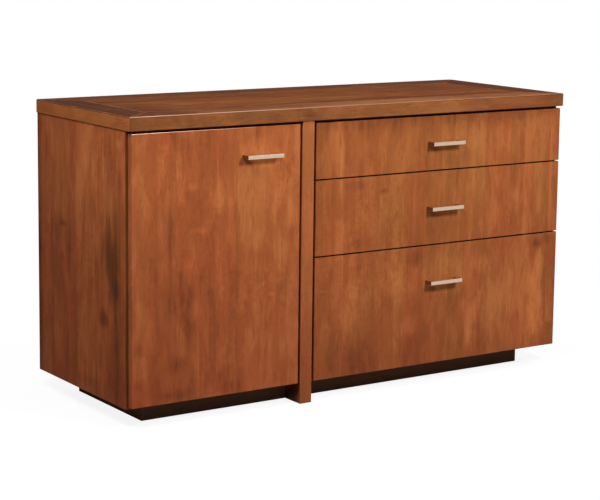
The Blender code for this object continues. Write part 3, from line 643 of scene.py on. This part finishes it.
# the arris colours are the painted highlights on each board's edges; the first factor of top_faces darkens
# the upper faces with painted shade over the board's own tone
wood_field = top_wood("top field", grain="X", across="Y", seed=8.3, strength=1.15, hues=TOP_HUES,
                      stain=REDDISH._replace(arris=shade(170, 110, 82)),
                      tones=FIELD_TONES, joints=FIELD_JOINTS,
                      faces=top_faces((0.54, 0.58, 0.57), left=0.86, corner=0.76))
wood_front_border = top_wood("front border", grain="X", across="Y", seed=11.9,
                             stain=BORDER_BROWN._replace(arris=shade(170, 110, 82)),
                             tones=BORDER_TONES, joints=BORDER_JOINTS,
                             faces=top_faces((0.73, 0.78, 0.80), left=0.56, edge=0.67, corner=0.70, end=0.75))
wood_back_border = top_wood("back border", grain="X", across="Y", seed=14.3, joints=BORDER_JOINTS,
                            stain=BORDER_BROWN._replace(arris=shade(150, 98, 76)),
                            faces=top_faces((0.42, 0.44, 0.50), edge=0.85))
wood_left_border = top_wood("left border", grain="Y", across="X", seed=4.4,
                            stain=END_BORDER_BROWN._replace(arris=shade(130, 84, 64)),
                            faces=top_faces((0.20, 0.23, 0.34)))
wood_right_border = top_wood("right border", grain="Y", across="X", seed=6.6,
                             stain=END_BORDER_BROWN._replace(arris=shade(140, 92, 72)),
                             faces=top_faces((0.28, 0.31, 0.42), edge=0.85))


def birch(name, grain, across, seed, **looks):
    """Pale lacquered wood for the drawer boxes."""
    return wood(name, grain, across, seed, BIRCH, strength=0.8, leaf_width=0.12, **looks)


BIRCH_SEED = 9.9
wood_box_bottom = birch("lacquered birch", grain="X", across="Z", seed=BIRCH_SEED)


def box_wood(place):
    """Lacquered birch with the dovetails of one drawer box."""
    low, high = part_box("drawer_box_" + place)

    def end_walls(tree, parts, normal):
        """One in the front and back walls, where the grain runs across the drawer."""
        nearer = calc(tree, "MINIMUM", minus(tree, parts["Y"], low[1]), minus(tree, high[1], parts["Y"]))
        sideways = facing_shares(tree, normal)["X"]
        return times(tree, calc(tree, "LESS_THAN", nearer, BOX_WALL * (1 + WALL_SLACK)),
                     calc(tree, "LESS_THAN", sideways, 0.5))

    return birch("lacquered birch, box " + place, grain="Y", across="Z", seed=BIRCH_SEED + low[2],
                 faces=dovetails(low, high), turned=end_walls)


# Metal and rubber

def plated(name, colour, roughness, cells, spread=0.04, uneven=0.03, bump=0.02, sides=1.0):
    """Metal with a faint uneven tone and gloss, drawn out along the axis with the fewest cells, with painted
    shade on the faces turned sideways when sides is below one.
    """
    material, tree, shader = start(name)
    coordinates = add(tree, "TexCoord").outputs
    drawn = add(tree, "VectorMath", {0: coordinates["Object"], 1: cells}, operation="MULTIPLY")
    grain = noise(tree, drawn.outputs[0], detail=3.0)
    lighter = tuple(min(1.0, value * (1 + spread)) for value in colour) + (1.0,)
    darker = tuple(value * (1 - spread) for value in colour) + (1.0,)
    tone = mix(tree, remap(tree, grain, 0.3, 0.7), darker, lighter)
    # painted shade: faces turned sideways darker, for the shaded reflections on the pulls' legs
    if sides < 1.0:
        sideways = facing_shares(tree, coordinates["Normal"])["X"]
        tone = mix(tree, remap(tree, sideways, 0.6, 0.9), tone, (sides, sides, sides, 1.0), "MULTIPLY")
    relief = add(tree, "Bump", {"Height": grain, "Strength": bump, "Distance": 0.0002})
    gloss = remap(tree, grain, 0.3, 0.7, roughness - uneven, roughness + uneven)
    feed(tree, shader, {"Base Color": tone, "Roughness": gloss, "Metallic": 1.0, "Normal": relief.outputs[0]})
    return material


def clear_rubber():
    """Soft translucent plastic for the bumpers."""
    material, tree, shader = start("clear rubber")
    cells = {0: add(tree, "TexCoord").outputs["Object"], 1: (400.0, 400.0, 400.0)}
    haze = noise(tree, add(tree, "VectorMath", cells, operation="MULTIPLY").outputs[0])
    tone = mix(tree, haze, (0.62, 0.62, 0.58, 1.0), (0.80, 0.80, 0.77, 1.0))
    feed(tree, shader, {"Base Color": tone, "Roughness": 0.35, "Transmission Weight": 0.45, "IOR": 1.42})
    return material


# the pulls' sideways faces get painted shade
nickel = plated("brushed nickel", (0.60, 0.45, 0.33), 0.30, (60.0, 1800.0, 1800.0),
                spread=0.05, uneven=0.06, bump=0.1, sides=0.5)
zinc = plated("bright zinc", (0.56, 0.57, 0.59), 0.30, (120.0, 120.0, 120.0))
rolled_zinc = plated("rolled zinc-plated steel", (0.50, 0.51, 0.54), 0.34, (1200.0, 25.0, 1200.0),
                     spread=0.10, uneven=0.06, bump=0.08)
rubber = clear_rubber()

LOOKS = {
    "top_field": wood_field, "top_border_front": wood_front_border, "top_border_back": wood_back_border,
    "top_border_left": wood_left_border, "top_border_right": wood_right_border, "side_panel": wood_side,
    "divider_panel": wood_post, "bottom_panel": wood_shelf, "shelf": wood_shelf, "top_rail": wood_shelf,
    "back_panel": wood_back, "plinth": wood_plinth, "door": wood_upright, "drawer_front": wood_upright,
    "door_pull": nickel, "drawer_pull": nickel, "drawer_box_top": box_wood("top"),
    "drawer_box_middle": box_wood("middle"), "drawer_box_file": box_wood("file"),
    "drawer_bottom": wood_box_bottom, "hinge": zinc, "runner": rolled_zinc, "shelf_pin": zinc,
    "file_frame": zinc,
}


def dress(name, node):
    """Give a CAD piece the finish whose key fits the start of its name best."""
    key = max((key for key in LOOKS if name.startswith(key)), key=len)
    node.material_slots[0].material = LOOKS[key]


for name, node in nodes.items():
    dress(name, node)


# Small hardware, modelled once each and set out in its places

HEAD_SIDES = 24
ROUNDING_STEPS = 3
SMOOTH_ANGLE = radians(35)
SLOT_LENGTH_IN_RADII = 1.2
SLOT_WIDTH_IN_RADII = 0.28


def select_only(thing):
    bpy.ops.object.select_all(action="DESELECT")
    thing.select_set(True)
    bpy.context.view_layer.objects.active = thing


def pick_edges(thing, wanted):
    """Select the edges whose two ends both pass a test, in edit mode."""
    shape = bmesh.from_edit_mesh(thing.data)
    for edge in shape.edges:
        edge.select_set(all(wanted(vertex.co) for vertex in edge.verts))
    bmesh.update_edit_mesh(thing.data)


def cut_box(thing, size, place):
    """Cut a box out of a piece."""
    bpy.ops.object.select_all(action="DESELECT")
    bpy.ops.mesh.primitive_cube_add(size=1.0, location=place, scale=size)
    cutter = bpy.context.object
    select_only(thing)
    modifier = thing.modifiers.new("cut", "BOOLEAN")
    modifier.object = cutter
    bpy.ops.object.modifier_apply(modifier=modifier.name)
    bpy.data.objects.remove(cutter)


def model_head(name, radius, height, rounding, slot_depth=0.0):
    """A round head that stands on the origin and faces up, with a rounded rim and a cross slot."""
    bpy.ops.object.select_all(action="DESELECT")
    bpy.ops.mesh.primitive_cylinder_add(vertices=HEAD_SIDES, radius=radius, depth=height,
                                        location=(0, 0, height / 2))
    head = bpy.context.object
    head.name = name
    bpy.ops.object.mode_set(mode="EDIT")
    bpy.ops.mesh.select_mode(type="EDGE")
    bpy.ops.mesh.select_all(action="DESELECT")
    pick_edges(head, lambda place: place.z > height / 4)
    bpy.ops.mesh.bevel(offset=rounding, segments=ROUNDING_STEPS)
    bpy.ops.object.mode_set(mode="OBJECT")
    select_only(head)
    bpy.ops.object.transform_apply(location=True, rotation=True, scale=True)
    if slot_depth:
        long, slim = radius * SLOT_LENGTH_IN_RADII, radius * SLOT_WIDTH_IN_RADII
        for size in ((long, slim), (slim, long)):
            cut_box(head, (*size, slot_depth * 2), (0.0, 0.0, height))
    select_only(head)
    bpy.ops.object.shade_smooth_by_angle(angle=SMOOTH_ANGLE)
    return head


def set_out(master, name, places, facing, body, look):
    """Copies of a head at their places, all turned to face one way, as one piece on one body."""
    copies = []
    for place in places:
        select_only(master)
        bpy.ops.object.duplicate()
        copy = bpy.context.object
        copy.rotation_euler = Vector(facing).to_track_quat("Z", "X").to_euler()
        copy.location = place
        copies.append(copy)
    select_only(copies[0])
    for copy in copies:
        copy.select_set(True)
    if len(copies) > 1:
        bpy.ops.object.join()
    bpy.ops.object.transform_apply(location=True, rotation=True, scale=True)
    piece = bpy.context.object
    piece.name = name
    piece.data.name = name
    piece.data.materials.clear()
    piece.data.materials.append(look)
    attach(piece, body)


pan_head = model_head("pan head", radius=0.0035, height=0.0020, rounding=0.0009, slot_depth=0.0011)
flat_head = model_head("runner head", radius=0.0036, height=0.0013, rounding=0.0005, slot_depth=0.0008)
set_screw = model_head("set screw", radius=0.0029, height=0.0008, rounding=0.0003, slot_depth=0.0006)
washer_head = model_head("washer head", radius=0.0048, height=0.0024, rounding=0.0010, slot_depth=0.0013)
dome = model_head("bumper dome", radius=0.0042, height=0.0030, rounding=0.0019)

DRAWERS = ("top", "middle", "file")
PULL_SCREW_SPACING = 0.096
WING_SCREW_FROM_MIDDLE = 0.0224
PLATE_FACE = 0.0038
PLATE_SCREW_FROM_MIDDLE = 0.018
PLATE_SCREW_BEHIND_EDGE = 0.037
ARM_BODY_BEHIND_EDGE = 0.020
ARM_SCREW_INSETS = (0.0080, 0.0360)
ARM_SCREW_SUNK = 0.0009
RUNNER_STEEL = 0.0012
DRAWER_RUNNER_SHARES = (0.05, 0.35, 0.65, 0.95)
CASE_RUNNER_SHARES = (0.10, 0.40, 0.90)
FRONT_SCREW_FROM_SIDE = 0.090
FRONT_SCREW_FROM_TOP = 0.022
FRONT_SCREW_FROM_FOOT = 0.042
BUMPER_FROM_SIDE = 0.012
BUMPER_FROM_TOP = 0.015
BUMPER_FROM_FOOT = 0.0048


def either_side(centre, distance):
    return centre - distance, centre + distance


def fit_hinges():
    """Screws in the cups' wings, in the plates and in the arms."""
    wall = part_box("side_panel_left")[1][0]
    for place in ("upper", "lower"):
        low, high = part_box("hinge_cup_" + place)
        x, z = halfway(low[0], high[0]), halfway(low[2], high[2])
        spots = [(x, high[1], height) for height in either_side(z, WING_SCREW_FROM_MIDDLE)]
        set_out(pan_head, "hinge_cup_screws_" + place, spots, (0, 1, 0), "door", zinc)
        y = CASE_FRONT + PLATE_SCREW_BEHIND_EDGE
        spots = [(wall + PLATE_FACE, y, height) for height in either_side(z, PLATE_SCREW_FROM_MIDDLE)]
        set_out(pan_head, "hinge_plate_screws_" + place, spots, (1, 0, 0), "case", zinc)
        arm_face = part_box("hinge_arm_" + place)[1][0]
        arm_front = CASE_FRONT + ARM_BODY_BEHIND_EDGE
        spots = [(arm_face - ARM_SCREW_SUNK, arm_front + inset, z) for inset in ARM_SCREW_INSETS]
        set_out(set_screw, "hinge_set_screws_" + place, spots, (1, 0, 0), "case", zinc)


def along_runner(web, low, high, shares):
    """Places along the middle of a runner member's web, at shares of its length."""
    return [(web, low[1] + share * (high[1] - low[1]), halfway(low[2], high[2])) for share in shares]


def fit_runners():
    """Screws along the drawer members, and along the case members where there is room for heads."""
    for place in DRAWERS:
        for side, inward in (("left", 1), ("right", -1)):
            low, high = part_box(f"runner_drawer_{place}_{side}")
            web = (high[0] if inward > 0 else low[0]) - inward * RUNNER_STEEL
            set_out(flat_head, f"runner_drawer_screws_{place}_{side}",
                    along_runner(web, low, high, DRAWER_RUNNER_SHARES), (-inward, 0, 0), "drawer_" + place,
                    zinc)
            if place != "file":
                low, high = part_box(f"runner_case_{place}_{side}")
                web = (low[0] if inward > 0 else high[0]) + inward * RUNNER_STEEL
                set_out(flat_head, f"runner_case_screws_{place}_{side}",
                        along_runner(web, low, high, CASE_RUNNER_SHARES), (inward, 0, 0), "case",
                        zinc)


def pull_screws(pull, y):
    """The places of a pull's two screws at a given depth."""
    low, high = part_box(pull)
    x, z = halfway(low[0], high[0]), halfway(low[2], high[2])
    return [(across, y, z) for across in either_side(x, PULL_SCREW_SPACING / 2)]


def fit_pull_screws():
    """The pulls' screws behind the door and inside the boxes, with the screws that hold the fronts."""
    set_out(washer_head, "door_pull_screws", pull_screws("door_pull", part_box("door")[1][1]), (0, 1, 0),
            "door", zinc)
    for place in DRAWERS:
        low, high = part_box("drawer_box_" + place)
        inner = low[1] + BOX_WALL
        set_out(washer_head, "drawer_pull_screws_" + place, pull_screws("drawer_pull_" + place, inner),
                (0, 1, 0), "drawer_" + place, zinc)
        spots = [(x, inner, z) for x in (low[0] + FRONT_SCREW_FROM_SIDE, high[0] - FRONT_SCREW_FROM_SIDE)
                 for z in (low[2] + FRONT_SCREW_FROM_FOOT, high[2] - FRONT_SCREW_FROM_TOP)]
        set_out(pan_head, "front_screws_" + place, spots, (0, 1, 0), "drawer_" + place, zinc)


def fit_bumpers():
    """Clear bumpers at the door's two free corners, against the case's front edges."""
    low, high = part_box("door")
    x = high[0] - BUMPER_FROM_SIDE
    spots = [(x, high[1], z) for z in (low[2] + BUMPER_FROM_FOOT, high[2] - BUMPER_FROM_TOP)]
    set_out(dome, "door_bumpers", spots, (0, 1, 0), "door", rubber)


fit_hinges()
fit_runners()
fit_pull_screws()
fit_bumpers()
for master in (pan_head, flat_head, set_screw, washer_head, dome):
    bpy.data.objects.remove(master)


# Floor and background

FLOOR_HALF = 9.0
FLOOR_DROP = 0.0005
FLOOR_LIT = (0.13, 0.13, 0.13, 1.0)
FLOOR_GLOW = 0.88
FLOOR_BOUNCE = (0.26, 0.26, 0.26, 1.0)
FLOOR_FADES = (0.9, 1.9)
AMBIENT = 0.12


def shown_rays(tree):
    """One for what the camera, a reflection or glass sees, and nothing for light that bounces."""
    path = add(tree, "LightPath").outputs
    seen = calc(tree, "MAXIMUM", path["Is Camera Ray"], path["Is Glossy Ray"])
    return calc(tree, "MAXIMUM", seen, path["Is Transmission Ray"])


def make_floor():
    """A pale floor that keeps the shadow near the object and turns plain white farther off."""
    bpy.ops.object.select_all(action="DESELECT")
    bpy.ops.mesh.primitive_plane_add(size=2 * FLOOR_HALF, location=(0.0, 0.0, -FLOOR_DROP))
    floor = bpy.context.object
    floor.name = "floor"
    material, tree, shader = start("floor")
    tree.nodes.remove(shader)
    place = add(tree, "TexCoord").outputs["Object"]
    distance = add(tree, "VectorMath", {0: place}, operation="LENGTH").outputs["Value"]
    near = add(tree, "AddShader", {0: add(tree, "BsdfDiffuse", {"Color": FLOOR_LIT}).outputs[0],
                                   1: add(tree, "Emission", {"Strength": FLOOR_GLOW}).outputs[0]})
    seen = add(tree, "MixShader", {0: remap(tree, distance, *FLOOR_FADES, kind=SMOOTH), 1: near.outputs[0],
                                   2: add(tree, "Emission", {"Strength": 1.0}).outputs[0]})
    bounce = add(tree, "BsdfDiffuse", {"Color": FLOOR_BOUNCE}).outputs[0]
    whole = add(tree, "MixShader", {0: shown_rays(tree), 1: bounce, 2: seen.outputs[0]})
    feed(tree, tree.nodes["Material Output"], {"Surface": whole.outputs[0]})
    floor.data.materials.append(material)


def make_world():
    """White where it is seen, and a faint even light on the object."""
    world = bpy.data.worlds.new("studio")
    scene.world = world
    world.use_nodes = True
    tree = world.node_tree
    feed(tree, tree.nodes["Background"], {"Color": (1.0, 1.0, 1.0, 1.0),
                                          "Strength": remap(tree, shown_rays(tree), 0.0, 1.0, AMBIENT, 1.0)})


make_camera()
make_floor()
make_world()
make_lamp("key lamp", (0.35, -1.95, 1.75), (0.00, -0.24, 0.50), size=0.4, power=41.0)
make_lamp("side lamp", (-1.60, -0.90, 2.05), (-0.50, -0.10, 0.50), size=0.7, power=39.0)
make_lamp("right lamp", (2.50, -0.15, 1.50), (0.60, 0.00, 0.40), size=1.0, power=30.0)
make_lamp("back lamp", (-0.90, 2.40, 1.50), (0.00, 0.27, 0.40), size=1.0, power=30.0)
scene.view_settings.view_transform = "Standard"
